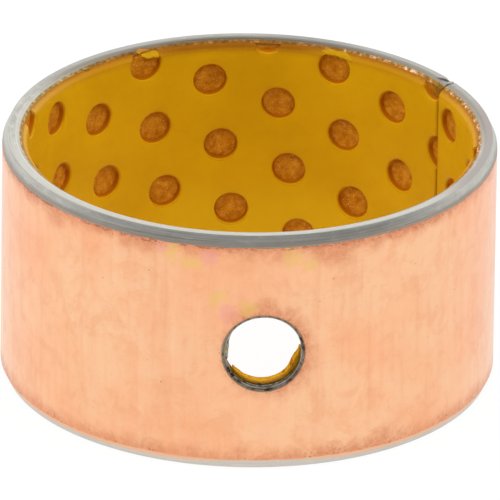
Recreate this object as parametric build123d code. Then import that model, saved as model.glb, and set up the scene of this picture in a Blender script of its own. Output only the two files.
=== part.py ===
"""Wrapped composite plain-bearing bush with a row-and-column field of grease pockets.

A strip of four bonded layers is rolled into a ring until its two ends butt together. From the
outside in, the layers are a copper flash plating, the steel backing, a thin coat of sintered
bronze and the acetal lining that runs on the shaft. The lining carries a slanting field of round
grease pockets whose floors are the bare bronze. One oil hole goes through the wall, half way up.

Units are millimetres. The axis of the bush is Z and its lower end stands on Z = 0. Angles are
measured round Z, counter-clockwise from above, from the oil hole, which faces -Y.
"""

from build123d import *
import math
import os

# Bore, width and the four layers of the wall, from the shaft outwards.
bore_diameter = 35.0
bush_width = 20.0
lining_thickness = 0.50
bronze_thickness = 0.15
steel_thickness = 1.33
plating_thickness = 0.02

# Ends of the bush: bevels on both edges of the wall, with their angles taken from the axis.
outer_bevel_length = 0.80
outer_bevel_angle = 25.0
inner_bevel_length = 0.70
inner_bevel_angle = 52.5

# Butt joint of the rolled strip.
joint_angle = 118.4
joint_gap = 0.12
joint_edge_break = 0.10

# Oil hole. The acetal springs back a little after drilling, so its hole is the smaller one.
oil_hole_diameter = 6.0
oil_hole_deburr = 0.20
lining_springback = 0.10

# Grease pockets: size on the bore surface, slope of the pressed side wall, and the number of flat
# sides that stand for its round wall, which keeps the many pockets light.
pocket_diameter = 2.75
pocket_wall_angle = 18.0
pocket_sides = 20

# Field of pockets, unrolled: two directions with their own pitch and slope from the
# circumference, and one pocket centre placed from the joint and the lower end.
row_pitch = 5.82
row_slope = 20.5
column_pitch = 5.74
column_slope = 80.9
first_pocket_arc = 19.97
first_pocket_height = 11.04

# Extra reach of the cutting tools past the faces that they cut, and where a section drawn on the
# XZ plane lies.
reach = 1.0
section_angle = 90.0

# Radii where one layer ends and the next begins, depths of the bevels, and the height at which the
# lower bevel cuts off the back of the lining.
bore_radius = bore_diameter / 2
bronze_radius = bore_radius + lining_thickness
steel_radius = bronze_radius + bronze_thickness
plating_radius = steel_radius + steel_thickness
outer_radius = plating_radius + plating_thickness
outer_bevel_depth = outer_bevel_length * math.tan(math.radians(outer_bevel_angle))
inner_bevel_depth = inner_bevel_length * math.tan(math.radians(inner_bevel_angle))
lining_end = inner_bevel_length * max(0, 1 - lining_thickness / inner_bevel_depth)


def ring(corners):
    """A section, given as (radius, height) corners, turned once round the axis from the joint."""
    section = make_face(Polyline(*corners, close=True))
    turned = revolve(Plane.XZ * section, Axis.Z, 360)
    return Rot(0, 0, joint_angle - section_angle) * turned


def turned_wall():
    """The whole wall as one ring, with the bevels of both ends."""
    corners = [
        (bore_radius, inner_bevel_length),
        (bore_radius + inner_bevel_depth, 0),
        (outer_radius - outer_bevel_depth, 0),
        (outer_radius, outer_bevel_length),
        (outer_radius, bush_width - outer_bevel_length),
        (outer_radius - outer_bevel_depth, bush_width),
        (bore_radius + inner_bevel_depth, bush_width),
        (bore_radius, bush_width - inner_bevel_length),
    ]
    return ring(corners)


def joint_tool():
    """A slot through the wall, flared where the strip's end faces meet the bore and the outside."""
    half_gap = joint_gap / 2
    flare = half_gap + joint_edge_break + reach
    right_side = [
        (flare, -(bore_radius - reach)),
        (half_gap, -(bore_radius + joint_edge_break)),
        (half_gap, -(outer_radius - joint_edge_break)),
        (flare, -(outer_radius + reach)),
    ]
    left_side = [(-x, y) for x, y in reversed(right_side)]
    outline = make_face(Polyline(*right_side, *left_side, close=True))
    slot = extrude(Pos(0, 0, -reach) * outline, amount=bush_width + 2 * reach)
    return Rot(0, 0, joint_angle) * slot


def oil_hole_tool(diameter):
    """A drill that enters from -Y, half way up the bush."""
    length = outer_radius + reach
    drill = Cylinder(diameter / 2, length, rotation=(90, 0, 0))
    return Pos(0, -length / 2, bush_width / 2) * drill


def drilled_wall(wall):
    """The wall with the oil hole, its outer edge deburred."""
    drilled = wall - oil_hole_tool(oil_hole_diameter)
    hole_mouth = Vector(0, -outer_radius, bush_width / 2)
    mouth_edge = drilled.edges().sort_by_distance(hole_mouth)[0]
    return chamfer(mouth_edge, oil_hole_deburr)


def layer(wall, inner_radius, outer_radius):
    """What a layer between two radii takes of the wall."""
    corners = [
        (inner_radius, -reach),
        (outer_radius, -reach),
        (outer_radius, bush_width + reach),
        (inner_radius, bush_width + reach),
    ]
    return wall & ring(corners)


def pocket_centres():
    """Places of the pockets as (angle from the joint in degrees, height)."""
    row_arc = row_pitch * math.cos(math.radians(row_slope))
    row_rise = row_pitch * math.sin(math.radians(row_slope))
    column_arc = column_pitch * math.cos(math.radians(column_slope))
    column_rise = column_pitch * math.sin(math.radians(column_slope))
    circumference = 2 * math.pi * bore_radius
    pocket_radius = pocket_diameter / 2
    steps = math.ceil((circumference + bush_width) / min(row_pitch, column_pitch)) + 1
    centres = []
    for row in range(-steps, steps + 1):
        for column in range(-steps, steps + 1):
            arc = first_pocket_arc + row * row_arc + column * column_arc
            height = first_pocket_height + row * row_rise + column * column_rise
            on_strip = -pocket_radius < arc < circumference + pocket_radius
            in_width = -pocket_radius < height < bush_width + pocket_radius
            if on_strip and in_width:
                centres.append((math.degrees(arc / bore_radius), height))
    return centres


def pocket_punch():
    """The tapered punch that presses one pocket through to the bronze, pointing to -Y."""
    taper = math.tan(math.radians(pocket_wall_angle))
    length = lining_thickness + 2 * reach
    wide_radius = pocket_diameter / 2 + reach * taper
    tip_radius = wide_radius - length * taper
    wide_end = RegularPolygon(wide_radius, pocket_sides)
    tip = Pos(0, 0, length) * RegularPolygon(tip_radius, pocket_sides)
    return Pos(0, reach - bore_radius, 0) * Rot(90, 0, 0) * loft([wide_end, tip], ruled=True)


def pocket_tool(punch, angle, height):
    """The punch at the place of one pocket, trimmed at the joint.

    Where a pocket opens both at the joint and at an end of the strip, it takes the loose corner
    between the two as well.
    """
    tool = Pos(0, 0, height) * punch
    joint_distance = math.radians(min(angle, 360 - angle)) * bore_radius
    end_distance = min(height, bush_width - height) - lining_end
    joint_side = 1 if angle < 180 else -1
    end_side = -1 if height < bush_width / 2 else 1
    if max(joint_distance, end_distance) < pocket_diameter / 2:
        tool = tool + corner_block(height, -joint_side, end_side)
    tool = Rot(0, 0, angle) * tool
    if joint_distance < pocket_diameter:
        tool = tool & strip_side(joint_side)
    return Rot(0, 0, joint_angle) * tool


def corner_block(height, side, end_side):
    """A block from a pocket's centre past the joint on one side and past the nearer end."""
    corner = Box(pocket_diameter, lining_thickness + 2 * reach, pocket_diameter)
    across = side * pocket_diameter / 2
    middle = -bore_radius - lining_thickness / 2
    along = height + end_side * pocket_diameter / 2
    return Pos(across, middle, along) * corner


def strip_side(side):
    """The space on one side of the joint: 1 at the start of the strip, -1 at its end."""
    size = 2 * pocket_diameter + 2 * reach
    block = Box(size, size, bush_width + 2 * size)
    return Pos(side * size / 2, -bore_radius, bush_width / 2) * block


def lining(wall):
    """The acetal layer with its smaller oil hole and all its grease pockets."""
    drilled = wall - oil_hole_tool(oil_hole_diameter - 2 * lining_springback)
    plain = layer(drilled, bore_radius - reach, bronze_radius)
    punch = pocket_punch()
    return plain - [pocket_tool(punch, angle, height) for angle, height in pocket_centres()]


wall = turned_wall() - joint_tool()
metal_wall = drilled_wall(wall)
parts = {
    "copper_plating": layer(metal_wall, plating_radius, outer_radius + reach),
    "steel_backing": layer(metal_wall, steel_radius, plating_radius),
    "bronze_interlayer": layer(metal_wall, bronze_radius, steel_radius),
    "acetal_lining": lining(wall),
}

os.makedirs("parts", exist_ok=True)
for name, part in parts.items():
    export_step(part, f"parts/{name}.step")
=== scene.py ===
import math

import bpy
import numpy as np
from mathutils import Matrix, Vector, noise
from mathutils.geometry import delaunay_2d_cdt


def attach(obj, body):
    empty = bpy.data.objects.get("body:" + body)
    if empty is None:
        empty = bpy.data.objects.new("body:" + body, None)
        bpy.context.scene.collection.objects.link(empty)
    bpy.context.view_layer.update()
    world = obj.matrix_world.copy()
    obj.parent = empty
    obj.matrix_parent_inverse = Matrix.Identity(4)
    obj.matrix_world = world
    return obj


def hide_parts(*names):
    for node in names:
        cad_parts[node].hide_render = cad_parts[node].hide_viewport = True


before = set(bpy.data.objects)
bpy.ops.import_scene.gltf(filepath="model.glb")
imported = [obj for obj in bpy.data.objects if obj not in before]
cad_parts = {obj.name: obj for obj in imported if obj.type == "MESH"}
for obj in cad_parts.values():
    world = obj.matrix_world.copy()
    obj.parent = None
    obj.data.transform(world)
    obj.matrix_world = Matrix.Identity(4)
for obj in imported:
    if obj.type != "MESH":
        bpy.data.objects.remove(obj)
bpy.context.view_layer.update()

# ---- sizes, in mm and degrees, as in the CAD
BORE = 17.5  # inner radius of the lining,
BRONZE = 18.0  # of the bronze,
STEEL = 18.15  # of the steel
PLATE = 19.48  # and of the plating
OUTER = 19.5
PLATING = 0.02
WIDTH = 20.0
OUTER_BEVEL = (0.80, 0.80 * math.tan(math.radians(25.0)))  # length along the axis, depth
INNER_BEVEL = (0.70, 0.70 * math.tan(math.radians(52.5)))
JOINT_ANGLE = 118.4
JOINT_GAP = 0.12
HOLE_METAL = 3.0  # radius of the oil hole in the steel and bronze,
HOLE_LINING = 2.9  # in the lining
HOLE_PLATE = 3.24  # and in the plating, whose edge is torn
DEBURR = 0.20
POCKET = 2.75 / 2  # radius of a pocket at the bore
POCKET_SLOPE = math.tan(math.radians(18.0))
ROW_PITCH, ROW_SLOPE = 5.82, 20.5  # the two directions of the field of pockets
COLUMN_PITCH, COLUMN_SLOPE = 5.74, 80.9
FIRST_POCKET = (19.97, 11.04)  # arc from the joint, height
LATTICE_REACH = 30  # rows and columns tried each way
LINING = BRONZE - BORE
ARC = 2 * math.pi * BORE  # length of the unrolled lining
HOLE_ARC = ARC * (360.0 - JOINT_ANGLE) / 360.0  # where the oil hole is on it
MM = 0.001


def link(obj):
    bpy.context.scene.collection.objects.link(obj)
    return obj


def smoothstep(a, b, x):
    t = np.clip((np.asarray(x, float) - a) / (b - a), 0.0, 1.0)
    return t * t * (3 - 2 * t)


def fbm(points, scale, octaves, seed):
    """Perlin noise, about -1 to 1, at an array of 3-D points."""
    out = np.zeros(len(points))
    amp = 1.0
    total = 0.0
    for octave in range(octaves):
        offset = seed * 17.31 + octave * 5.7
        out += amp * np.array([
            noise.noise(Vector((x * scale + offset, y * scale - offset, z * scale + 2 * offset)))
            for x, y, z in points])
        total += amp
        scale *= 2.0
        amp *= 0.5
    return out / total * 1.6


def flat_fbm(x, y, scale, octaves, seed):
    return fbm(np.column_stack([x, y, np.zeros_like(x)]), scale, octaves, seed)


def on_ring(arc, z, r):
    """Points of the rolled strip: arc from the joint at the bore radius, height and radius, in mm."""
    angle = np.asarray(arc) / BORE + math.radians(JOINT_ANGLE)
    r = np.asarray(r)
    return np.stack([r * np.sin(angle), -r * np.cos(angle), np.broadcast_to(z, angle.shape)], axis=-1)


def make_mesh(name, verts, faces, smooth_angle):
    """A mesh object from vertices in mm, smooth shaded with sharp edges past an angle."""
    verts = np.asarray(verts)
    used = np.zeros(len(verts), bool)
    for face in faces:
        used[list(face)] = True
    index = np.cumsum(used) - 1
    faces = [tuple(index[list(face)].tolist()) for face in faces]
    mesh = bpy.data.meshes.new(name)
    mesh.from_pydata((verts[used] * MM).tolist(), [], faces)
    mesh.validate()
    mesh.shade_smooth()
    mesh.set_sharp_from_angle(angle=math.radians(smooth_angle))
    return link(bpy.data.objects.new(name, mesh))


# ---- the field of pockets on the unrolled lining
def pocket_centres():
    row_turn, column_turn = math.radians(ROW_SLOPE), math.radians(COLUMN_SLOPE)
    row = (ROW_PITCH * math.cos(row_turn), ROW_PITCH * math.sin(row_turn))
    column = (COLUMN_PITCH * math.cos(column_turn), COLUMN_PITCH * math.sin(column_turn))
    steps = range(-LATTICE_REACH, LATTICE_REACH + 1)
    centres = []
    for i in steps:
        for j in steps:
            arc = FIRST_POCKET[0] + i * row[0] + j * column[0]
            height = FIRST_POCKET[1] + i * row[1] + j * column[1]
            if -POCKET < arc < ARC + POCKET and -POCKET < height < WIDTH + POCKET:
                centres.append((arc, height))
    return np.array(centres)


def bevel_end(radius):
    """Distance from the bush's end at which the inner bevel reaches a radius."""
    return INNER_BEVEL[0] * (1 - (radius - BORE) / INNER_BEVEL[1])


POCKETS = pocket_centres()
FLOOR = POCKET - LINING * POCKET_SLOPE  # radius of a pocket's floor
LINING_END = bevel_end(BRONZE)
BRONZE_END = bevel_end(STEEL)
PLATE_END = 0.757  # the plating's edge on the outer bevel


def soft_corner(x, width):
    """0 below 0 and x above it, with a rounded corner."""
    return 0.5 * (x + np.sqrt(x * x + width * width))


def pocket_distance(arc, z):
    """Distance from the nearest pocket centre."""
    d = np.hypot(arc[:, None] - POCKETS[None, :, 0], z[:, None] - POCKETS[None, :, 1])
    return d.min(axis=1)


def hole_distance(arc, z):
    """Distance from the oil hole's axis, seen along it, on the hole's side of the bush."""
    turn = (arc - HOLE_ARC) / BORE
    across = BORE * np.sin(np.clip(turn, -math.pi / 2, math.pi / 2))
    return np.hypot(across, z - WIDTH / 2)


def lining_depth(arc, z):
    """How far the lining's face lies outside the bore, from its bevels, pockets and rounded edges."""
    pocket = soft_corner((POCKET - pocket_distance(arc, z)) / POCKET_SLOPE, 0.13)
    end = np.minimum(z, WIDTH - z)
    bevel = soft_corner((INNER_BEVEL[0] - end) * INNER_BEVEL[1] / INNER_BEVEL[0], 0.16)
    from_joint = np.minimum(arc, ARC - arc) - JOINT_GAP / 2
    joint = 0.16 * np.clip(1 - from_joint / 0.13, 0, 1) ** 2
    rim = 0.10 * np.clip(1 - (hole_distance(arc, z) - HOLE_LINING) / 0.10, 0, 1) ** 2
    depth = np.maximum.reduce([pocket, bevel, joint, rim])
    return np.where(depth > LINING - 1e-4, LINING, depth)


def ring_points(centre, radius, count, turn=0.0):
    a = 2 * math.pi * (np.arange(count) + turn) / count
    return np.stack([centre[0] + radius * np.cos(a), centre[1] + radius * np.sin(a)], axis=1)


def hole_ring(radius, count, turn=0.0):
    """A circle round the oil hole's axis, laid on the unrolled lining."""
    p = ring_points((0.0, WIDTH / 2), radius, count, turn)
    return np.stack([HOLE_ARC + BORE * np.arcsin(p[:, 0] / BORE), p[:, 1]], axis=1)


def hex_fill(low, high, step):
    rows = []
    for k, z in enumerate(np.arange(low[1], high[1], step * 0.866)):
        arc = np.arange(low[0] + (k % 2) * step / 2, high[0], step)
        rows.append(np.stack([arc, np.full_like(arc, z)], axis=1))
    return np.concatenate(rows)


class Flat:
    """Points and chains of edges laid out on the unrolled strip, ready to be triangulated."""

    def __init__(self, left, right, low, high):
        self.left, self.right, self.low, self.high = left, right, low, high
        self.points, self.edges, self.count = [], [], 0

    def covers(self, arc, z, margin=0.0):
        return ((arc > self.left + margin) & (arc < self.right - margin)
                & (z > self.low + margin) & (z < self.high - margin))

    def inside(self, p):
        return p[self.covers(*p.T, 0.02)]

    def add(self, p, closed=False):
        if closed:
            n = len(p)
            self.edges += [(self.count + k, self.count + (k + 1) % n) for k in range(n)]
        self.points.append(p)
        self.count += len(p)

    def border(self, steps, rows, bottom=None, top=None):
        """The outline, with its ends as straight lines or as heights along the steps."""
        along = np.linspace(self.left, self.right, steps)
        low = np.full(steps, self.low) if bottom is None else bottom(along)
        high = np.full(steps, self.high) if top is None else top(along)
        up_right = np.linspace(low[-1], high[-1], rows)
        up_left = np.linspace(low[0], high[0], rows)
        self.add(np.concatenate([
            np.stack([along, low], 1)[:-1],
            np.stack([np.full(rows, self.right), up_right], 1)[:-1],
            np.stack([along[::-1], high[::-1]], 1)[:-1],
            np.stack([np.full(rows, self.left), up_left[::-1]], 1)[:-1]]), closed=True)

    def triangles(self, keep):
        """(points, triangles) of the layout, with the triangles whose middles keep() wants."""
        flat = [Vector(q) for q in np.concatenate(self.points)]
        out, _, tris, _, _, _ = delaunay_2d_cdt(flat, self.edges, [], 0, 1e-5, False)
        flat = np.array([(q.x, q.y) for q in out])
        tris = np.array(tris)
        mid = flat[tris].mean(axis=1)
        tris = tris[keep(mid[:, 0], mid[:, 1])]
        used = np.unique(tris)
        index = np.full(len(flat), -1)
        index[used] = np.arange(len(used))
        return flat[used], index[tris]


def in_polygon(x, y, corners):
    """Which of the points lie inside a closed polygon."""
    inside = np.zeros(len(x), bool)
    for (x1, y1), (x2, y2) in zip(corners, np.roll(corners, -1, axis=0)):
        crosses = (y1 > y) != (y2 > y)
        if y1 != y2:
            inside ^= crosses & (x < (x2 - x1) * (y - y1) / (y2 - y1) + x1)
    return inside


def arc_at(arc, z, r):
    """The arc moved so that the oil hole's wall runs straight through every radius."""
    turn = (arc - HOLE_ARC) / BORE
    straight = BORE * np.arcsin(np.clip(BORE * np.sin(turn) / r, -1, 1))
    near = (1 - smoothstep(3.4, 6.0, hole_distance(arc, z))) * (np.abs(turn) < 1.2)
    return arc + near * (straight - BORE * turn)


def rolled_sheet(name, flat, tris, inner, outer):
    """A closed solid between two faces of the strip, each given as (radius, height) at the points.

    Where both faces are at the same place they share their points.
    """
    arc, z = flat.T
    (r_in, z_in), (r_out, z_out) = inner, outer
    shared = r_out - r_in < 1e-6
    solid = tris[~shared[tris].all(axis=1)]
    edges = np.sort(np.concatenate([solid[:, [0, 1]], solid[:, [1, 2]], solid[:, [2, 0]]]), axis=1)
    edges, uses = np.unique(edges, axis=0, return_counts=True)
    pinched = edges[(uses == 2) & shared[edges].all(axis=1)][:, 0]
    r_in = np.array(r_in)
    r_in[pinched] -= 0.02  # else four faces would meet at such an edge
    shared[pinched] = False
    solid = tris[~shared[tris].all(axis=1)]
    verts = np.concatenate([on_ring(arc_at(arc, z, r_in), z_in, r_in),
                            on_ring(arc_at(arc, z, r_out), z_out, r_out)])
    count = len(flat)
    outside = np.where(shared, np.arange(count), np.arange(count) + count)
    faces = [tuple(t) for t in solid[:, ::-1].tolist()]
    faces += [tuple(t) for t in outside[solid].tolist()]
    sides = {}
    for t in solid.tolist():
        for a, b in ((t[0], t[1]), (t[1], t[2]), (t[2], t[0])):
            if (b, a) in sides:
                del sides[(b, a)]
            else:
                sides[(a, b)] = True
    for a, b in sides:
        loop = []
        for v in (a, b, int(outside[b]), int(outside[a])):
            if v not in loop:
                loop.append(v)
        if len(loop) > 2:
            faces.append(tuple(loop))
    return make_mesh(name, verts, faces, 50.0)


def lining_piece():
    flat = Flat(JOINT_GAP / 2, ARC - JOINT_GAP / 2, LINING_END, WIDTH - LINING_END)
    steps, rows = 460, 98
    flat.border(steps, rows)
    along = np.linspace(flat.left, flat.right, steps)
    up = np.linspace(flat.low, flat.high, rows)
    for k, d in enumerate((0.10, 0.20, 0.29, 0.36, 0.43, 0.52, 0.75)):
        shifted = along + (k % 2) * 0.12
        for z in (flat.low + d, flat.high - d):
            flat.add(flat.inside(np.stack([shifted, np.full_like(shifted, z)], 1)))
    for d in (0.03, 0.07, 0.13, 0.25):
        for arc in (flat.left + d, flat.right - d):
            flat.add(flat.inside(np.stack([np.full_like(up, arc), up], 1)))
    for k, d in enumerate((0.0, 0.03, 0.07, 0.12, 0.30)):
        flat.add(hole_ring(HOLE_LINING + d, 120, 0.5 * (k % 2)), closed=k == 0)
    for centre in POCKETS:
        flat.add(ring_points(centre, FLOOR, 44), closed=True)
        for k, radius in enumerate((1.25, 1.29, 1.33, 1.36, 1.39, 1.43, 1.50)):
            ring = flat.inside(ring_points(centre, radius, 44, 0.5 * ((k + 1) % 2)))
            flat.add(ring[hole_distance(*ring.T) > HOLE_LINING + 0.02])
    fill = hex_fill((flat.left + 0.5, flat.low + 0.95), (flat.right - 0.5, flat.high - 0.9), 0.8)
    far = (pocket_distance(*fill.T) > 1.75) & (hole_distance(*fill.T) > 3.6)
    flat.add(fill[far])

    def keep(arc, z):
        open_there = (pocket_distance(arc, z) <= FLOOR) | (hole_distance(arc, z) <= HOLE_LINING)
        return flat.covers(arc, z) & ~open_there

    points, tris = flat.triangles(keep)
    arc, z = points.T
    return rolled_sheet("lining", points, tris, (BORE + lining_depth(arc, z), z),
                        (np.full_like(z, BRONZE), z))


def bronze_piece():
    flat = Flat(JOINT_GAP / 2, ARC - JOINT_GAP / 2, LINING_END, WIDTH - LINING_END)
    flat.border(900, 98)
    flat.add(hole_ring(HOLE_METAL, 120), closed=True)
    flat.add(hole_ring(HOLE_METAL + 0.15, 120, 0.5))
    for centre in POCKETS:
        grains = hex_fill((centre[0] - FLOOR - 0.1, centre[1] - FLOOR - 0.1),
                          (centre[0] + FLOOR + 0.1, centre[1] + FLOOR + 0.1), 0.13)
        grains = grains[np.hypot(*(grains - centre).T) < FLOOR + 0.08]
        grains = flat.inside(grains)
        flat.add(grains[hole_distance(*grains.T) > HOLE_METAL + 0.1])
    fill = hex_fill((flat.left + 0.5, flat.low + 0.5), (flat.right - 0.5, flat.high - 0.5), 1.0)
    far = (pocket_distance(*fill.T) > 1.5) & (hole_distance(*fill.T) > 3.5)
    flat.add(fill[far])

    def keep(arc, z):
        return flat.covers(arc, z) & (hole_distance(arc, z) > HOLE_METAL)

    points, tris = flat.triangles(keep)
    arc, z = points.T
    on_floor = 1 - smoothstep(FLOOR - 0.12, FLOOR + 0.02, pocket_distance(arc, z))
    lumps = flat_fbm(arc, z, 3.2, 3, 4.0)
    relief = on_floor * (0.035 + 0.045 * lumps)
    ends = (np.minimum(z, WIDTH - z) < LINING_END + 1e-6)
    nicks = flat_fbm(arc, z, 2.6, 3, 9.0)
    r_in = BRONZE - np.clip(relief, 0, 0.12)
    stretch = (WIDTH / 2 - BRONZE_END) / (WIDTH / 2 - LINING_END)
    z_out = WIDTH / 2 + (z - WIDTH / 2) * stretch
    z_in = z + np.where(ends, 0.05 * nicks * np.sign(z - WIDTH / 2), 0)
    return rolled_sheet("sintered_bronze", points, tris, (r_in, z_in),
                        (np.full_like(z, STEEL), z_out))


def copper_piece():
    def ragged(seed, high):
        def heights(arc):
            angle = arc / BORE
            p = np.stack([PLATE * np.cos(angle), PLATE * np.sin(angle), np.full_like(angle, seed)], 1)
            torn = 0.05 * fbm(p, 0.5, 2, seed) + 0.07 * np.abs(fbm(p, 2.4, 3, seed + 2))
            torn = np.clip(torn + (0.17 if high else 0.02), 0.005, 0.4)
            return WIDTH - PLATE_END - torn if high else PLATE_END + torn
        return heights

    half_gap = JOINT_GAP / 2 + 0.08
    flat = Flat(half_gap, ARC - half_gap, 0.5, WIDTH - 0.5)
    bottom, top = ragged(3.0, False), ragged(7.0, True)
    steps, hole_steps = 1900, 300
    flat.border(steps, 120, bottom, top)
    along = np.linspace(flat.left, flat.right, steps)
    round_hole = ring_points((0, 0), 3.2, hole_steps)[:, [0, 1, 1]]
    hole = hole_ring(HOLE_PLATE + 0.03 * fbm(round_hole, 1.5, 3, 5.0), hole_steps)
    flat.add(hole, closed=True)
    flat.add(hole_ring(3.45, 150))
    flat.add(hole_ring(3.8, 90, 0.5))
    flat.add(hole_ring(4.4, 60))
    for d, n in ((0.62, 900), (0.85, 700), (1.3, 450)):
        line = np.linspace(flat.left + 0.3, flat.right - 0.3, n)
        for z in (flat.low + d, flat.high - d):
            flat.add(np.stack([line, np.full_like(line, z)], 1))
    fill = hex_fill((flat.left + 0.5, 2.3), (flat.right - 0.5, WIDTH - 2.3), 0.9)
    flat.add(fill[hole_distance(*fill.T) > 4.9])

    def keep(arc, z):
        out = (arc > flat.left) & (arc < flat.right)
        out &= (z > np.interp(arc, along, bottom(along))) & (z < np.interp(arc, along, top(along)))
        near = np.flatnonzero(hole_distance(arc, z) < 3.6)
        out[near] &= ~in_polygon(arc[near], z[near], hole)
        return out

    points, tris = flat.triangles(keep)
    z = points[:, 1]
    return rolled_sheet("copper_skin", points, tris, (np.full_like(z, PLATE), z),
                        (np.full_like(z, OUTER), z))


# ---- flash and burrs of the acetal
# Outlines of three flakes that hang over pockets at the upper end, as (arc, height) on the lining.
FLAKES = [
    [(26.56, 19.59), (26.22, 19.63), (25.93, 19.68), (25.68, 19.76), (25.36, 19.74), (25.16, 19.63),
     (25.08, 19.49), (25.08, 19.30), (25.20, 19.13), (25.42, 19.22), (25.69, 19.25), (25.96, 19.20),
     (26.24, 19.26), (26.43, 19.38), (26.61, 19.48)],
    [(12.10, 19.62), (11.81, 19.76), (11.19, 19.79), (10.53, 19.76), (9.97, 19.68), (9.45, 19.48),
     (9.22, 19.22), (9.34, 19.02), (9.62, 19.14), (10.16, 19.31), (10.79, 19.37), (11.31, 19.36),
     (11.70, 19.37), (12.02, 19.42)],
    [(27.03, 19.79), (26.73, 19.90), (26.45, 19.93), (26.13, 19.90), (25.78, 19.85), (25.74, 19.72),
     (26.07, 19.69), (26.37, 19.69), (26.66, 19.59), (26.88, 19.66)],
]
FLAKE_THICKNESS = 0.16
# Lips in the oil hole: the angles round it (0 to the right, -90 down) between which the lip lies, its
# bulges (angle, width, thickness), the radii from the bush's axis between which it lies, and a seed.
LIPS = {
    "hole_lip": ((-141.0, -4.0), [(-27.0, 18.0, 0.24), (-134.0, 7.0, 0.06)], (17.62, 18.72), 12.0),
    "hole_burr": ((-216.0, -160.0), [(-178.0, 16.0, 0.27), (-200.0, 12.0, 0.20)], (17.75, 19.02), 21.0),
}


def flake_piece(name, corners, seed):
    """A thin torn flake that carries the bevel's face on over a pocket's mouth."""
    corners = np.array(corners)
    outline = []
    for (x1, y1), (x2, y2) in zip(corners, np.roll(corners, -1, axis=0)):
        t = np.linspace(0, 1, 8)[:-1, None]
        outline.append(np.array([x1, y1]) * (1 - t) + np.array([x2, y2]) * t)
    outline = np.concatenate(outline)
    torn = flat_fbm(*outline.T, 2.5, 2, seed)
    outline = outline + 0.02 * torn[:, None]
    flat = Flat(corners[:, 0].min(), corners[:, 0].max(), corners[:, 1].min(), corners[:, 1].max())
    flat.add(outline, closed=True)
    fill = hex_fill((flat.left, flat.low), (flat.right, flat.high), 0.05)

    def from_outline(arc, z):
        return np.hypot(arc[:, None] - outline[None, :, 0], z[:, None] - outline[None, :, 1]).min(axis=1)

    away = from_outline(*fill.T) > 0.025
    flat.add(fill[in_polygon(*fill.T, outline) & away])
    points, tris = flat.triangles(lambda arc, z: in_polygon(arc, z, outline))
    arc, z = points.T
    edge = from_outline(arc, z)
    full = np.sqrt(np.clip(edge / 0.10, 0, 1)) * FLAKE_THICKNESS
    full[edge < 1e-5] = 0.0
    face = BORE + 0.03 + soft_corner((z - WIDTH + INNER_BEVEL[0]) * INNER_BEVEL[1] / INNER_BEVEL[0], 0.12)
    folds = 0.03 * flat_fbm(arc, z, 1.2, 2, seed + 1)
    inner = face + folds - 0.5 * full + 0.03
    return rolled_sheet(name, points, tris, (inner, z), (inner + full, z))


def lip_piece(name, angles, bulges, depths, seed):
    """Material dragged out along the oil hole's wall by the drill, with a torn outer edge."""
    around, along = 150, 16
    back = HOLE_METAL + 0.02  # a little inside the metal
    a = np.radians(np.linspace(*angles, around))
    share = np.linspace(0, 1, around)
    ends = np.clip(np.minimum(share, 1 - share) / 0.10, 0, 1)
    rough = flat_fbm(np.cos(a), np.sin(a), 5.0, 4, seed)
    thick = 0.03 + 0.02 * rough
    for middle, width, height in bulges:
        thick += height * np.exp(-((np.degrees(a) - middle) / width) ** 2)
    outer_edge = depths[0] + (depths[1] - depths[0] + 0.13 * rough) * np.sqrt(ends)
    verts, faces = [], []
    for k in range(around):
        t = np.linspace(0, 1, along)
        depth = depths[0] + (outer_edge[k] - depths[0]) * t
        crown = np.clip(1 - t, 0, 1) ** 0.5 * np.clip(t / 0.06, 0, 1) ** 0.5
        inner = HOLE_LINING - thick[k] * ends[k] * crown
        for rho, r in [*zip(inner, depth), (back, outer_edge[k]), (back, depths[0])]:
            x = rho * math.cos(a[k])
            verts.append((x, -math.sqrt(r * r - x * x), WIDTH / 2 + rho * math.sin(a[k])))
    m = along + 2
    for k in range(around - 1):
        for j in range(m):
            i = (j + 1) % m
            faces.append((k * m + j, k * m + i, (k + 1) * m + i, (k + 1) * m + j))
    faces.append(tuple(reversed(range(m))))
    faces.append(tuple((around - 1) * m + j for j in range(m)))
    return make_mesh(name, verts, faces, 60.0)


# ---- the steel ring
def rounded(corners, radii):
    """An open line through corners, with each inner corner rounded to its radius, or kept at 0."""
    out = [np.array(corners[0], float)]
    for k in range(1, len(corners) - 1):
        if radii[k - 1] == 0:
            out.append(np.array(corners[k], float))
            continue
        before, here, after = (np.array(c, float) for c in corners[k - 1:k + 2])
        a = (before - here) / np.linalg.norm(before - here)
        b = (after - here) / np.linalg.norm(after - here)
        half = math.acos(np.clip(a @ b, -1, 1)) / 2
        reach = radii[k - 1] / math.tan(half)
        centre = here + (a + b) / np.linalg.norm(a + b) * radii[k - 1] / math.sin(half)
        first, last = here + a * reach - centre, here + b * reach - centre
        sweep = math.pi - 2 * half
        for t in np.linspace(0, 1, 5):
            turned = math.sin((1 - t) * sweep) * first + math.sin(t * sweep) * last
            out.append(centre + turned / math.sin(sweep))
    out.append(np.array(corners[-1], float))
    return np.array(out)


def rim_section(wobble_in, wobble_out, edge_break):
    """The steel's top end from its outer face over the land to its inner face, as (r, z)."""
    bevel_top = OUTER - OUTER_BEVEL[1] + 0.012 * wobble_out
    land_in = BORE + INNER_BEVEL[1] + 0.03 * wobble_in
    top = WIDTH - 0.5 * edge_break
    start = (PLATE - edge_break, WIDTH - OUTER_BEVEL[0] * (1 - PLATING / OUTER_BEVEL[1]))
    middle = ((start[0] + bevel_top) / 2, (start[1] + top) / 2)
    land_middle = ((bevel_top + land_in) / 2, top)
    corners = [start, middle, (bevel_top, top), land_middle, (land_in, top), (STEEL, WIDTH - BRONZE_END)]
    return rounded(corners, [0, 0.045, 0, 0.8])


WINDOW = 4.0  # half the square round the oil hole
CHIP_ARC = 0.75  # a chip beside the joint, at the upper end
CHIP_WIDTH = 0.28
CHIP_DEPTH = 0.16


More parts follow.
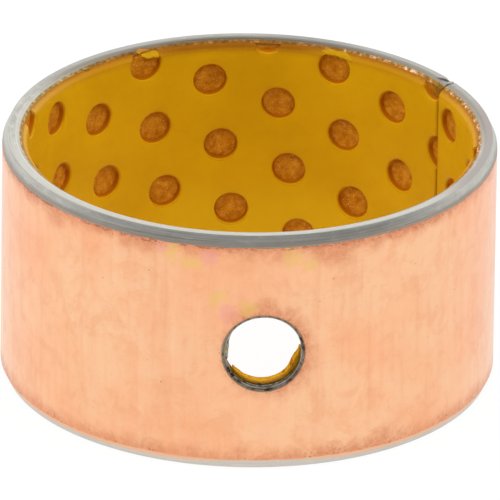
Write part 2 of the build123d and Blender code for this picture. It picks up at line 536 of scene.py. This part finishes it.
def steel_piece():
    face_rows = np.concatenate([
        [1.4, 2.6, 4.0, 5.2], np.arange(6.0, 14.01, 0.4), [14.8, 16.0, 17.4, 18.6]])
    fine = np.array([0.0, 0.03, 0.06, 0.10, 0.18, 0.28, 0.38, 0.48]) / OUTER
    start = JOINT_GAP / 2 / OUTER
    turns = np.concatenate([start + fine, np.linspace(start, 2 * math.pi - start, 721)[4:-4],
                            (2 * math.pi - start - fine)[::-1]])
    around = np.stack([np.cos(turns), np.sin(turns), np.zeros_like(turns)], 1) * OUTER
    tops = (fbm(around + [0, 0, 40], 0.25, 3, 1.0), fbm(around + [0, 0, 60], 0.12, 2, 2.0))
    ends = (fbm(around, 0.25, 3, 3.0), fbm(around + [0, 0, 20], 0.12, 2, 4.0))
    verts, faces = [], []
    chip = CHIP_DEPTH * np.exp(-((turns * OUTER - CHIP_ARC) / CHIP_WIDTH) ** 2)
    for k, turn in enumerate(turns):
        from_joint = min(turn, 2 * math.pi - turn) * OUTER - JOINT_GAP / 2
        edge_break = max(0.0, 0.10 - from_joint)
        top = rim_section(tops[0][k], tops[1][k], edge_break)
        top[:, 1] -= chip[k] * smoothstep(18.30, 18.60, top[:, 0])
        low = rim_section(ends[0][k], ends[1][k], edge_break)
        low = np.stack([low[:, 0], WIDTH - low[:, 1]], 1)[::-1]
        outside = np.stack([np.full_like(face_rows, PLATE - edge_break), face_rows], 1)
        inside = np.stack([np.full_like(face_rows, STEEL), face_rows[::-1]], 1)
        section = np.concatenate([outside, top, inside, low])
        angle = turn + math.radians(JOINT_ANGLE)
        verts += [(r * math.sin(angle), -r * math.cos(angle), z) for r, z in section]
    m = len(section)
    n = len(turns)
    rows = len(face_rows)
    first_in = rows + len(top)
    low_row = int(np.argmin(np.abs(face_rows - (WIDTH / 2 - WINDOW))))
    high_row = int(np.argmin(np.abs(face_rows - (WIDTH / 2 + WINDOW))))
    hole_turn = 2 * math.pi - math.radians(JOINT_ANGLE)
    low_col = int(np.searchsorted(turns, hole_turn - WINDOW / OUTER))
    high_col = int(np.searchsorted(turns, hole_turn + WINDOW / OUTER))
    in_rows = (first_in + rows - 1 - high_row, first_in + rows - 1 - low_row)
    for k in range(n - 1):
        for j in range(m):
            in_window = low_col <= k < high_col
            if in_window and (low_row <= j < high_row or in_rows[0] <= j < in_rows[1]):
                continue
            a, b = k * m + j, k * m + (j + 1) % m
            faces.append((a, a + m, b + m, b))
    faces.append(tuple(range(m)))
    faces.append(tuple((n - 1) * m + j for j in reversed(range(m))))

    def window(row_of):
        """Vertex numbers round the opening, counter-clockwise as seen from outside."""
        loop = [k * m + row_of(low_row) for k in range(low_col, high_col)]
        loop += [high_col * m + row_of(j) for j in range(low_row, high_row)]
        loop += [k * m + row_of(high_row) for k in range(high_col, low_col, -1)]
        loop += [low_col * m + row_of(j) for j in range(high_row, low_row, -1)]
        return loop

    outer_loop = window(lambda j: j)
    inner_loop = window(lambda j: first_in + rows - 1 - j)
    angles = [math.atan2(verts[v][2] - WIDTH / 2, verts[v][0]) for v in outer_loop]

    def circle(rho, r, sink=0.0):
        """A ring of the hole's wall, where it meets a radius of the bush, moved inwards by sink."""
        base = len(verts)
        for a in angles:
            x, z = rho * math.cos(a), WIDTH / 2 + rho * math.sin(a)
            verts.append((x, -math.sqrt(r * r - x * x) + sink, z))
        return list(range(base, base + len(angles)))

    def between(loop, target, w, r):
        """A ring part of the way, w, from the loop to a circle."""
        base = len(verts)
        for v, a in zip(loop, angles):
            x = (1 - w) * verts[v][0] + w * target * math.cos(a)
            z = WIDTH / 2 + (1 - w) * (verts[v][2] - WIDTH / 2) + w * target * math.sin(a)
            verts.append((x, -math.sqrt(r * r - x * x), z))
        return list(range(base, base + len(angles)))

    def bridge(loops):
        for first, second in zip(loops, loops[1:]):
            for j in range(len(first)):
                i = (j + 1) % len(first)
                faces.append((first[j], first[i], second[i], second[j]))

    wide = HOLE_METAL + DEBURR
    loops = [outer_loop] + [between(outer_loop, wide, w, PLATE) for w in (0.35, 0.65, 0.85, 0.95)]
    loops.append(circle(wide, PLATE))
    loops.append(circle(HOLE_METAL + 0.03, PLATE, DEBURR - 0.03))
    loops.append(circle(HOLE_METAL, PLATE, DEBURR + 0.02))
    loops += [circle(HOLE_METAL, PLATE, depth) for depth in (0.45, 0.75, 1.05)]
    loops.append(circle(HOLE_METAL, STEEL))
    bridge(loops)
    inwards = [between(inner_loop, HOLE_METAL, w, STEEL) for w in (0.9, 0.6, 0.3)]
    bridge([loops[-1], *inwards, inner_loop])
    return make_mesh("steel_ring", verts, faces, 30.0)


# ---- materials
class Term:
    """A value in a node tree, for sums and products written as plain arithmetic."""

    def __init__(self, tree, socket):
        self.tree, self.socket = tree, socket

    def __add__(self, other):
        return self.tree.math("ADD", self, other)

    def __sub__(self, other):
        return self.tree.math("SUBTRACT", self, other)

    def __rsub__(self, other):
        return self.tree.math("SUBTRACT", other, self)

    def __mul__(self, other):
        return self.tree.math("MULTIPLY", self, other)

    def __abs__(self):
        return self.tree.math("ABSOLUTE", self)

    __radd__, __rmul__ = __add__, __mul__


class Tree:
    """A node tree under construction, of a material or a world."""

    def __init__(self, owner):
        owner.use_nodes = True
        self.tree = owner.node_tree
        self.tree.nodes.clear()

    def node(self, kind, inputs, output=0, **settings):
        """Adds a shader node and returns one of its outputs."""
        node = self.tree.nodes.new("ShaderNode" + kind)
        for key, value in settings.items():
            setattr(node, key, value)
        for key, value in inputs.items():
            self.put(node.inputs[key], value)
        return Term(self, node.outputs[output])

    def finish(self, kind, shader):
        self.put(self.tree.nodes.new("ShaderNodeOutput" + kind).inputs[0], shader)

    def put(self, socket, value):
        if isinstance(value, Term):
            self.tree.links.new(value.socket, socket)
        elif socket.type == "RGBA":
            socket.default_value = (*value, 1)
        else:
            socket.default_value = value

    def math(self, operation, a, b=0.0):
        return self.node("Math", {0: a, 1: b}, operation=operation)

    def vector_math(self, operation, inputs, output=0):
        return self.node("VectorMath", inputs, output, operation=operation)

    def split(self, vector):
        outputs = self.node("SeparateXYZ", {0: vector}).socket.node.outputs
        return [Term(self, output) for output in outputs]

    def join(self, x, y, z):
        return self.node("CombineXYZ", {0: x, 1: y, 2: z})

    def rise(self, value, start, stop):
        """Goes smoothly from 0 at start to 1 at stop, which may be the lower one."""
        inputs = {"Value": value, "From Min": start, "From Max": stop}
        return self.node("MapRange", inputs, interpolation_type="SMOOTHSTEP")

    def length(self, a, b):
        return self.math("SQRT", a * a + b * b)

    def mix(self, share, a, b):
        """Colour a where share is 0 and b where it is 1."""
        return self.node("Mix", {0: share, 6: a, 7: b}, 2, data_type="RGBA")

    def tones(self, value, stops):
        """Colours along a value, as (place, colour) stops."""
        ramp = self.node("ValToRGB", {0: value})
        elements = ramp.socket.node.color_ramp.elements
        while len(elements) < len(stops):
            elements.new(0.5)
        for element, (place, color) in zip(elements, stops):
            element.position = place
            element.color = (*color, 1)
        return ramp

    def seen_by(self, *kinds):
        """1 for the kinds of light ray that are named, 0 for the rest."""
        seen = 0.0
        for kind in kinds:
            seen = self.math("MAXIMUM", seen, self.node("LightPath", {}, kind))
        return seen


class Paint(Tree):
    """A piece's material. Places are in mm, and `turn` is the angle from the joint."""

    def __init__(self, name):
        self.material = bpy.data.materials.new(name)
        super().__init__(self.material)
        place = self.node("TexCoord", {}, "Object")
        self.place = self.vector_math("SCALE", {0: place, "Scale": 1 / MM})
        self.x, self.y, self.z = self.split(self.place)
        self.r = self.length(self.x, self.y)
        to_cut = math.radians(270 - JOINT_ANGLE)  # brings the joint to where ARCTAN2 jumps
        inputs = {"Vector": self.place, "Angle": to_cut}
        across, along, _ = self.split(self.node("VectorRotate", inputs, rotation_type="Z_AXIS"))
        self.turn = self.math("ARCTAN2", along, across) + math.pi
        self.arc = self.turn * OUTER
        self.end = self.math("MINIMUM", self.z, WIDTH - self.z)  # distance from the nearer end
        self.color = None

    def over(self, share, color):
        """Lays a colour over what is there, as thick as share, which goes from 0 to 1."""
        self.color = self.mix(share, self.color, color)

    def finished(self, **inputs):
        """The material, with the shader's inputs given by their names with _ for spaces."""
        inputs = {name.replace("_", " "): value for name, value in inputs.items()}
        inputs["Base Color"] = self.color
        self.finish("Material", self.node("BsdfPrincipled", inputs))
        return self.material

    def noise(self, scale, detail=3.0, roughness=0.5, where=None, distortion=0.0):
        inputs = {"Vector": where or self.place, "Scale": scale, "Detail": detail,
                  "Roughness": roughness, "Distortion": distortion}
        return self.node("TexNoise", inputs)

    def cells(self, scale):
        """Distance from the nearest cell's middle, and the cell's own random number."""
        inputs = {"Vector": self.place, "Scale": scale}
        distance = self.node("TexVoronoi", inputs, "Distance")
        color = Term(self, distance.socket.node.outputs["Color"])
        return distance, self.split(color)[0]

    def bump(self, height, depth):
        """Bump from a height of 0 to 1 that stands for a depth in mm."""
        inputs = {"Height": height, "Distance": depth * MM, "Strength": 1.0}
        return self.node("Bump", inputs)

    def from_hole(self):
        """Distance from the oil hole's axis, large behind the bush's middle."""
        return self.length(self.x, self.z - WIDTH / 2) + 100 * self.rise(self.y, -1.0, 0.0)

    def spot(self, angle, height, radius):
        """1 in the middle of a round patch of the outside, 0 from its radius on."""
        arc = self.arc - math.radians((angle - JOINT_ANGLE) % 360) * OUTER
        return self.rise(self.length(arc, self.z - height), radius, 0.0)

    def patches(self, places):
        return sum(self.spot(*place) for place in places)


def acetal_paint():
    paint = Paint("yellow_acetal")
    rise, mix, over = paint.rise, paint.mix, paint.over
    depth = paint.r - BORE
    cloud = paint.noise(0.16, 3)
    paint.color = mix(rise(cloud, 0.3, 0.7), (0.69, 0.375, 0.003), (0.76, 0.425, 0.004))
    fine = paint.noise(1.3, 4)
    over(rise(fine, 0.45, 0.75) * 0.2, (0.62, 0.31, 0.003))
    behind = rise(paint.y, 2.0, 15.0)
    lit = behind * rise(paint.z, 9.5, 4.5) * rise(abs(paint.x - 2.2), 9.5, 6.0)
    over(lit * 0.8, (0.80, 0.49, 0.009))
    # Pocket walls dark orange-brown: partly the thin acetal over the bronze, partly painted shade in the
    # pockets.
    in_pocket = rise(depth, 0.08, 0.26) * rise(paint.end, 0.62, 0.80)
    in_pocket *= rise(paint.from_hole(), HOLE_LINING + 0.02, HOLE_LINING + 0.20)
    over(in_pocket, (0.46, 0.13, 0.001))
    up = paint.split(paint.node("TexCoord", {}, "Normal"))[2]
    # Painted light: the pockets' downward-facing upper walls are lighter.
    over(in_pocket * rise(up, -0.1, -0.5) * 0.7, (0.66, 0.30, 0.004))
    # Painted shade on the upward-facing lower rims of the pockets, dulling their highlight.
    brow = rise(depth, 0.12, 0.03) * rise(up, 0.12, 0.45)
    over(brow * 0.45, (0.48, 0.21, 0.002))
    grit = paint.noise(2.4, 4, 0.65)
    side = mix(rise(paint.x, -6.0, 6.0), (0.66, 0.36, 0.06), (0.62, 0.28, 0.012))
    # Near the ends the acetal turns tan towards the left and deeper orange on the right; at the back it
    # is painted shade under the rim, dark brown.
    at_end = rise(paint.end + 0.12 * grit, 1.00 + 0.35 * behind, 0.52 - 0.10 * behind)
    over(at_end * 0.85, mix(behind, side, (0.44, 0.165, 0.006)))
    # Painted shade under the back rim, darkest in the middle.
    middle = behind * rise(abs(paint.x), 8.5, 4.0) * rise(paint.z, 9.0, 11.0)
    shade_under_back_rim = middle * rise(paint.end + 0.12 * grit, 0.98, 0.52)
    over(shade_under_back_rim * 0.95, (0.27, 0.088, 0.002))
    frayed = rise(depth + 0.30 * grit, 0.40, 0.62) * rise(paint.end, 0.8, 0.6)
    over(frayed * 0.75, (0.34, 0.12, 0.010))
    drilled = rise(paint.from_hole(), HOLE_LINING + 0.06, HOLE_LINING + 0.02)
    drilled *= rise(paint.x, -1.9, -2.2)
    over(drilled * 0.9, (0.10, 0.055, 0.012))
    for near, far in ((0.10, 0.42), (ARC - 0.10, ARC - 0.42)):
        over(rise(paint.turn * BORE, far, near) * 0.32, (0.45, 0.20, 0.003))
    return paint.finished(Roughness=0.34 + 0.25 * fine, Specular_IOR_Level=0.20,
                          Specular_Tint=(1.0, 0.70, 0.12), Normal=paint.bump(fine, 0.012))


def burr_paint():
    """The same acetal where it is torn and thin: brighter, with brown grime at its edges."""
    paint = Paint("torn_acetal")
    rise, mix, over = paint.rise, paint.mix, paint.over
    grit = paint.noise(3.0, 5, 0.7)
    in_hole = rise(paint.from_hole(), 3.4, 3.2)
    flake = mix(rise(grit, 0.35, 0.65), (0.50, 0.260, 0.002), (0.58, 0.310, 0.003))
    flake = mix(rise(paint.z, 19.70, 19.80), flake, (0.50, 0.21, 0.03))
    lip = mix(rise(grit, 0.35, 0.65), (0.84, 0.385, 0.002), (1.0, 0.565, 0.008))
    scorched = rise(paint.noise(1.6, 4, 0.6), 0.50, 0.62)
    scorched *= 0.25 + 0.60 * rise(paint.x, 0.0, 1.8)
    lip = mix(scorched, lip, (0.55, 0.17, 0.001))
    paint.color = mix(in_hole, flake, lip)
    outwards = rise(paint.r + 0.9 * grit, 18.68, 19.05) * in_hole
    over(outwards * 0.85, (0.24, 0.10, 0.006))
    grey = paint.tones(grit, [
        (0.36, (0.13, 0.11, 0.08)), (0.50, (0.36, 0.34, 0.29)), (0.62, (0.60, 0.58, 0.52))])
    olive = rise(paint.length(paint.x + 2.80, paint.z - 10.12), 0.24, 0.10)
    grey = mix(olive, grey, (0.36, 0.32, 0.04))
    grey = mix(rise(paint.z, 9.45, 9.25), grey, (0.16, 0.10, 0.03))
    at_left = in_hole * rise(paint.x, -2.2, -2.5) * rise(paint.z, 9.0, 9.2)
    over(at_left, grey)
    return paint.finished(Roughness=0.45, Specular_IOR_Level=0.15,
                          Specular_Tint=(1.0, 0.75, 0.25), Normal=paint.bump(grit, 0.05))


def cut_edge(paint):
    """Colours along the cut edge of the bronze: brown at the back, peach grains right, olive left."""
    rise, mix = paint.rise, paint.mix
    clumps = paint.noise(2.6, 3, 0.6)
    right = rise(paint.x, 4.0, 13.0)
    left = rise(paint.x, -9.0, -16.0)
    dull = paint.tones(clumps, [
        (0.34, (0.16, 0.075, 0.012)), (0.48, (0.27, 0.115, 0.016)), (0.60, (0.34, 0.150, 0.026)),
        (0.70, (0.55, 0.30, 0.13))])
    peach = paint.tones(clumps + 0.05, [
        (0.36, (0.14, 0.07, 0.015)), (0.46, (0.33, 0.15, 0.022)), (0.57, (0.46, 0.21, 0.035)),
        (0.64, (0.66, 0.33, 0.12)), (0.71, (0.92, 0.64, 0.42))])
    olive = paint.tones(clumps, [
        (0.38, (0.26, 0.19, 0.07)), (0.52, (0.40, 0.30, 0.11)), (0.66, (0.60, 0.48, 0.26))])
    return mix(left, mix(right, dull, peach), olive)


def bronze_paint():
    paint = Paint("sintered_bronze")
    rise, over = paint.rise, paint.over
    distance, number = paint.cells(8.0)
    grain = paint.noise(1.7, 5, 0.6)
    paint.color = paint.tones(grain, [
        (0.32, (0.47, 0.155, 0.003)), (0.50, (0.61, 0.235, 0.008)), (0.68, (0.74, 0.34, 0.020))])
    bright = rise(number, 0.78, 0.86) * rise(distance, 0.44, 0.22)
    over(bright * 0.7, (0.90, 0.53, 0.21))
    dark = rise(number, 0.10, 0.06) * rise(distance, 0.45, 0.30)
    over(dark * 0.4, (0.26, 0.07, 0.001))
    at_rim = rise(paint.end, 0.62, 0.40)
    over(at_rim, cut_edge(paint))
    # Darker towards the joint near the upper end.
    darker_by_joint = rise(paint.turn * BORE + 0.8 * grain, 2.7, 0.8)
    darker_by_joint *= rise(WIDTH - paint.z, 2.4, 1.6)
    over(darker_by_joint * 0.75, (0.20, 0.105, 0.008))
    return paint.finished(Metallic=0.35 * bright, Roughness=0.65 - 0.25 * bright,
                          Specular_IOR_Level=0.2, Specular_Tint=(1.0, 0.6, 0.25),
                          Normal=paint.bump(grain - 0.3 * distance, 0.06))


LAND_EDGE = 18.50  # radius of the painted highlight along the land's inner edge


def steel_paint():
    paint = Paint("turned_steel")
    rise, mix, over = paint.rise, paint.mix, paint.over
    round_cut = paint.join(paint.arc * 0.12, paint.z * 9.0, paint.r * 9.0)
    streaks = paint.noise(1.0, 4, 0.6, round_cut)
    blotch = paint.noise(0.55, 4, 0.6)
    grit = paint.noise(3.0, 4, 0.65)
    paint.color = paint.tones(streaks, [
        (0.32, (0.44, 0.43, 0.385)), (0.5, (0.60, 0.59, 0.535)), (0.68, (0.77, 0.76, 0.695))])
    marks = paint.noise(1.0, 5, 0.7, paint.join(paint.arc * 0.9, paint.z * 2.4, paint.r * 2.4))
    over(rise(marks, 0.54, 0.62) * 0.5, (0.84, 0.83, 0.78))
    over(rise(marks, 0.44, 0.36) * 0.4, (0.36, 0.35, 0.32))
    front = rise(paint.y, 3.0, -5.0)
    land = rise(paint.end, 0.05, 0.01)
    # Painted reflection: the land is lighter and creamier at the front.
    over(land * front * 0.55, (0.80, 0.785, 0.71))
    back = (1.0 - front) * rise(paint.x, -17.8, -13.0)
    # Painted shade: the land is darker at the back, and darker still round x = 6.
    over(land * back * 0.45, (0.44, 0.42, 0.385))
    # Painted reflection: the bevels are lighter and warmer on the left.
    left = rise(paint.x, -14.0, -17.0) * rise(paint.y, -4.0, 2.0)
    over(left * (1.0 - land) * 0.55, (0.78, 0.715, 0.62))
    dim = back * rise(abs(paint.x - 6.0), 5.0, 1.5)
    over(land * dim * 0.40, (0.31, 0.30, 0.28))
    # Painted shade: the land is darker and warmer on the right.
    right = rise(paint.x, 13.0, 17.0) * rise(paint.y, 8.0, 2.0)
    over(land * right * 0.9, (0.48, 0.42, 0.39))
    # Painted highlight along the land's inner edge, towards the front.
    glint = rise(abs(paint.r + 0.05 * grit - LAND_EDGE), 0.09, 0.0) * front
    over(glint * rise(paint.x, 8.0, -6.0) * 0.8, (0.97, 0.94, 0.86))
    outer_bevel = rise(paint.r, 19.10, 19.16) * rise(paint.end, 0.83, 0.79)
    over(outer_bevel * 0.45, (0.48, 0.47, 0.44))
    grime = rise(paint.r + 0.10 * blotch, 19.36, 19.52) * rise(paint.z, 12.0, 18.0)
    over(grime * 0.65, (0.26, 0.20, 0.15))
    # Painted shade: the rounding into the inner bevel is darker at the back.
    inner_bevel = rise(paint.r, 18.74, 18.50) * rise(paint.end, 0.3, 0.1) * back
    over(inner_bevel * 0.75, (0.36, 0.325, 0.255))
    narrower = 0.09 * rise(paint.x, -9.0, -16.0)
    smeared = rise(paint.r + 0.16 * grit + narrower, 18.37, 18.29) * rise(paint.end, 0.0, 0.02)
    over(smeared, cut_edge(paint))
    reach = 0.28 * rise(abs(paint.x), 1.0, 7.0)
    dragged = rise(paint.z + reach + 0.30 * grit, 0.80, 0.98) * rise(paint.z, 2.0, 1.0)
    dragged *= rise(paint.r, 19.16, 19.20)
    over(dragged * 0.9, (0.93, 0.50, 0.28))
    # Painted reflection: the lower bevel is tinted warm.
    over(rise(paint.z, 2.0, 1.0) * 0.5 * (1.0 - dragged), (0.72, 0.63, 0.54))
    hole = paint.from_hole()
    wall = rise(hole, 3.35, 3.25)
    # The hole's wall: dark and mottled, its chamfer grey, with painted light on its left part and painted
    # highlight lines along two radii.
    wall_mottle = paint.noise(1.6, 4, 0.65)
    wall_dark_and_lit = mix(rise(wall_mottle, 0.35, 0.65), (0.060, 0.046, 0.030), (0.30, 0.27, 0.21))
    chamfer = rise(paint.r, 19.22, 19.30)
    wall_dark_and_lit = mix(chamfer * rise(wall_mottle, 0.40, 0.66) * 0.8, wall_dark_and_lit, (0.34, 0.32, 0.27))
    lit = rise(paint.x, -2.3, -2.9) * rise(paint.z, 9.2, 9.8) * (1.0 - chamfer)
    wall_dark_and_lit = mix(lit * 0.7, wall_dark_and_lit, (0.50, 0.47, 0.42))
    for radius, width in ((19.31, 0.05), (18.93, 0.06)):
        line = rise(abs(paint.r + 0.10 * wall_mottle - radius - 0.05), width, 0.0)
        wall_dark_and_lit = mix(line * rise(wall_mottle, 0.38, 0.50), wall_dark_and_lit, (0.80, 0.77, 0.68))
    over(wall, wall_dark_and_lit)
    # Painted shade: a near-black streak in the chip beside the joint.
    notch = paint.turn * OUTER + 1.3 * (paint.r - 19.13) - 0.60
    notch = rise(abs(notch), 0.34, 0.12) * rise(paint.r, 18.36, 18.60)
    notch *= rise(paint.turn, 0.12, 0.08) * rise(paint.z, 19.0, 19.2)
    over(notch * 0.86, (0.06, 0.048, 0.055))
    return paint.finished(Metallic=1.0 - 0.7 * smeared, Roughness=0.28 + 0.2 * streaks,
                          Normal=paint.bump(streaks, 0.02))


# Patches of colour on the copper, as (angle from the oil hole, height, radius in mm).
RED_PATCHES = [(-55, 18.8, 2.6), (-33, 18.9, 2.2), (-27, 18.7, 1.8), (-4, 19.1, 1.9), (4, 18.9, 2.0),
               (12, 19.0, 2.2), (18, 18.5, 2.6), (27, 19.0, 2.0), (-16, 0.9, 2.0), (-5, 1.0, 1.9),
               (16, 0.8, 1.4), (30, 1.2, 2.4), (1, 13.9, 1.5), (-3, 13.6, 1.2), (6, 13.3, 1.3)]
VIOLET_PATCHES = [(-23.8, 18.6, 1.1), (-12.6, 18.2, 1.3), (-8.3, 13.3, 1.3)]
YELLOW_PATCHES = [(-21.8, 18.1, 1.6), (-16.6, 17.6, 1.4), (-10.5, 14.6, 1.4), (-3.5, 13.8, 1.2),
                  (6, 18.2, 1.4), (11, 17.6, 1.2)]


def copper_paint():
    paint = Paint("copper_flash")
    rise, over = paint.rise, paint.over
    cloud = paint.noise(0.13, 3, 0.55)
    streaks = paint.noise(1.5, 4, 0.6, paint.join(paint.x, paint.y, paint.z * 0.07))
    fine = paint.noise(1.1, 5, 0.65)
    grit = paint.noise(4.2, 4, 0.7)
    paint.color = paint.mix(rise(cloud, 0.35, 0.65), (1.0, 0.495, 0.258), (1.0, 0.575, 0.325))
    over(rise(streaks, 0.50, 0.80) * 0.40, (0.96, 0.42, 0.215))
    over(rise(streaks, 0.46, 0.26) * 0.30, (1.0, 0.60, 0.38))
    over(rise(fine, 0.50, 0.78) * 0.40, (0.93, 0.405, 0.205))
    mottle = paint.noise(0.42, 5, 0.68, distortion=0.5)
    over(rise(mottle, 0.48, 0.64) * 0.45, (0.93, 0.415, 0.205))
    over(rise(mottle, 0.46, 0.32) * 0.35, (1.0, 0.60, 0.36))
    wisps = paint.noise(0.6, 6, 0.72, distortion=0.8)
    warped = wisps * 1.8 - 0.9
    red = rise(paint.patches(RED_PATCHES) * 1.3 + warped, 0.0, 1.5)
    from_edge = paint.end - PLATE_END
    band = rise(from_edge - wisps * 2.4 + 0.9, 1.1, -0.3)
    crackle = rise(abs(paint.noise(1.3, 5, 0.7, distortion=0.6) - 0.5), 0.10, 0.0)
    band *= 0.25 + cloud + 0.25 * rise(paint.z, 10.0, 15.0)
    red = paint.math("MAXIMUM", red * 0.75, band)
    hole = paint.from_hole() - (HOLE_METAL + DEBURR)
    right = rise(paint.x, -2.0, 3.0)
    above = paint.math("MAXIMUM", right, rise(paint.z, 12.2, 13.4))
    ring = rise(hole - wisps * 2.2 + 1.1, 0.9 + 0.7 * above, -0.2)
    red = paint.math("MAXIMUM", red, ring * (0.40 + 0.55 * above))
    over(red * (0.60 + 0.40 * crackle), (0.78, 0.285, 0.13))
    torn = fine * 5.0 - 2.6
    spots = paint.patches(YELLOW_PATCHES)
    yellow = rise(spots * 1.5 + torn, 0.2, 1.3) * rise(spots, 0.0, 0.35)
    over(yellow * 0.70, (0.91, 0.55, 0.18))
    spots = paint.patches(VIOLET_PATCHES)
    violet = rise(spots * 1.5 - torn, 0.2, 1.3) * rise(spots, 0.0, 0.35)
    over(violet * 0.55, (0.92, 0.38, 0.31))
    below = WIDTH - OUTER_BEVEL[0] - paint.z
    seam = rise(abs(below + 0.15 - 1.1 * fine + 0.35 * grit), 0.12, 0.02)
    seam *= rise(wisps, 0.44, 0.56) * rise(paint.x, 14.0, -2.0)
    over(seam * 0.8, (0.46, 0.145, 0.06))
    lines = paint.noise(0.55, 2, 0.5, distortion=0.6)
    scratch = rise(abs(lines - 0.5), 0.006, 0.0) * rise(cloud, 0.50, 0.62)
    over(scratch * 0.14, (0.55, 0.19, 0.09))
    near_edge = rise(from_edge, 1.0, 0.05) * rise(cloud, 0.36, 0.56)
    specks = rise(grit, 0.56, 0.66) * paint.math("MAXIMUM", near_edge, rise(hole, 0.55, 0.0))
    over(specks * 0.8, (0.20, 0.075, 0.03))
    glints = rise(grit, 0.40, 0.33) * near_edge
    over(glints * 0.6, (1.0, 0.66, 0.40))
    lip = rise(hole + 0.22 * grit, 0.30, 0.12)
    over(lip * 0.85, (0.13, 0.09, 0.06))
    distance, number = paint.cells(0.9)
    dots = rise(distance, 0.08, 0.04) * rise(number, 0.84, 0.88)
    over(dots * 0.6, (0.34, 0.15, 0.09))
    return paint.finished(Metallic=1.0, Roughness=0.30 + 0.22 * streaks + 0.15 * red,
                          Coat_Weight=0.6, Coat_Roughness=0.25, Coat_IOR=1.45,
                          Normal=paint.bump(fine + 0.5 * streaks, 0.02))


# ---- camera, floor and light
PIXELS = 500
SENSOR = 36.0
CAMERA_AZIMUTH = -3.86
CAMERA_ELEVATION = 24.98
CAMERA_ROLL = 0.83
CAMERA_DISTANCE = 79.46 * OUTER * MM
PIXELS_PER_MM = 246.95 / OUTER
AIM_PIXEL = (248.30, 248.42)  # the bush's middle in the picture


def make_camera():
    a, e, roll = (math.radians(v) for v in (CAMERA_AZIMUTH, CAMERA_ELEVATION, CAMERA_ROLL))
    back = Vector((math.sin(a) * math.cos(e), -math.cos(a) * math.cos(e), math.sin(e)))
    right = Vector((math.cos(a), math.sin(a), 0))
    up = back.cross(right)
    right, up = (right * math.cos(roll) + up * math.sin(roll),
                 up * math.cos(roll) - right * math.sin(roll))
    per_metre = PIXELS_PER_MM / MM
    aim = Vector((0, 0, WIDTH / 2 * MM))
    aim += right * ((PIXELS / 2 - AIM_PIXEL[0]) / per_metre)
    aim -= up * ((PIXELS / 2 - AIM_PIXEL[1]) / per_metre)
    data = bpy.data.cameras.new("camera")
    data.sensor_width = SENSOR
    data.lens = per_metre * CAMERA_DISTANCE * SENSOR / PIXELS
    data.clip_start, data.clip_end = 0.1, 20
    camera = link(bpy.data.objects.new("camera", data))
    axes = Matrix((right, up, back)).transposed().to_4x4()
    camera.matrix_world = Matrix.Translation(aim + back * CAMERA_DISTANCE) @ axes
    bpy.context.scene.camera = camera


def make_floor():
    size, drop = 4.0, 0.00002
    corners = [(-size, -size, 0), (size, -size, 0), (size, size, 0), (-size, size, 0)]
    mesh = bpy.data.meshes.new("floor")
    mesh.from_pydata(corners, [], [(0, 1, 2, 3)])
    floor = link(bpy.data.objects.new("floor", mesh))
    floor.location.z = -drop
    material = bpy.data.materials.new("pale_floor")
    tree = Tree(material)
    diffuse = tree.node("BsdfDiffuse", {"Color": (0.86, 0.86, 0.86)})
    glow = tree.node("Emission", {"Strength": 1.03})
    share = tree.seen_by("Is Camera Ray", "Is Glossy Ray", "Is Transmission Ray") * 0.88
    tree.finish("Material", tree.node("MixShader", {0: share, 1: diffuse, 2: glow}))
    mesh.materials.append(material)


def make_world():
    """A soft white studio with a dark card in front, round the camera, before plain white."""
    world = bpy.data.worlds.new("soft_studio")
    bpy.context.scene.world = world
    tree = Tree(world)
    way = tree.node("TexCoord", {}, "Generated")

    def dot(direction):
        return tree.vector_math("DOT_PRODUCT", {0: way, 1: direction}, "Value")

    def greys(value, stops):
        ramp = tree.tones(value, [(place, (level, level, level)) for place, level in stops])
        ramp.socket.node.color_ramp.interpolation = "EASE"
        return ramp

    up = dot((0, 0, 1))
    zenith = greys(up, [(0.0, 1.0), (0.72, 1.0), (0.93, 0.30), (1.0, 0.25)])
    front = greys(dot((0, -1, 0)) * 0.5 + 0.5,
                  [(0.32, 1.0), (0.46, 0.85), (0.56, 0.48), (0.66, 0.30), (1.0, 0.29)])
    height = greys(up, [(0.0, 0.0), (0.12, 1.0), (0.55, 1.0), (0.75, 0.0)])
    card = tree.mix(height, (1, 1, 1), front)
    both = tree.vector_math("MULTIPLY", {0: zenith, 1: card})
    lit = tree.node("Background", {"Color": both})
    white = tree.node("Background", {"Color": (1, 1, 1)})
    shown = tree.seen_by("Is Camera Ray")
    tree.finish("World", tree.node("MixShader", {0: shown, 1: lit, 2: white}))


def area_light(name, place, size, watts):
    """A disk lamp that shines on the middle of the bush."""
    data = bpy.data.lights.new(name, "AREA")
    data.shape = "DISK"
    data.size = size
    data.energy = watts
    lamp = link(bpy.data.objects.new(name, data))
    lamp.visible_glossy = False  # the metal shows the room, not the lamp
    lamp.location = place
    lamp.rotation_mode = "QUATERNION"
    aim = Vector((0, 0, WIDTH / 2 * MM))
    lamp.rotation_quaternion = (aim - Vector(place)).to_track_quat("-Z", "Y")


make_camera()
make_floor()
make_world()
area_light("key", (0.0, -0.26, 0.80), size=1.1, watts=4.35)
for side in (-1, 1):
    area_light("side_fill", (0.62 * side, -0.05, 0.50), size=0.5, watts=1.3)
bpy.context.scene.view_settings.view_transform = "Standard"

pieces = [
    (lining_piece(), "acetal_lining", "acetal", acetal_paint()),
    (bronze_piece(), "bronze_interlayer", "bronze", bronze_paint()),
    (steel_piece(), "steel_backing", "steel", steel_paint()),
    (copper_piece(), "copper_plating", "copper", copper_paint()),
]
for piece, node, slot, material in pieces:
    piece.data.materials.append(material)
    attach(piece, "root")
    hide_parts(node)

burr = burr_paint()
burrs = [flake_piece(f"flake_{k + 1}", corners, 20.0 + 3 * k) for k, corners in enumerate(FLAKES)]
burrs += [lip_piece(name, *shape) for name, shape in LIPS.items()]
for piece in burrs:
    piece.data.materials.append(burr)
    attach(piece, "root")
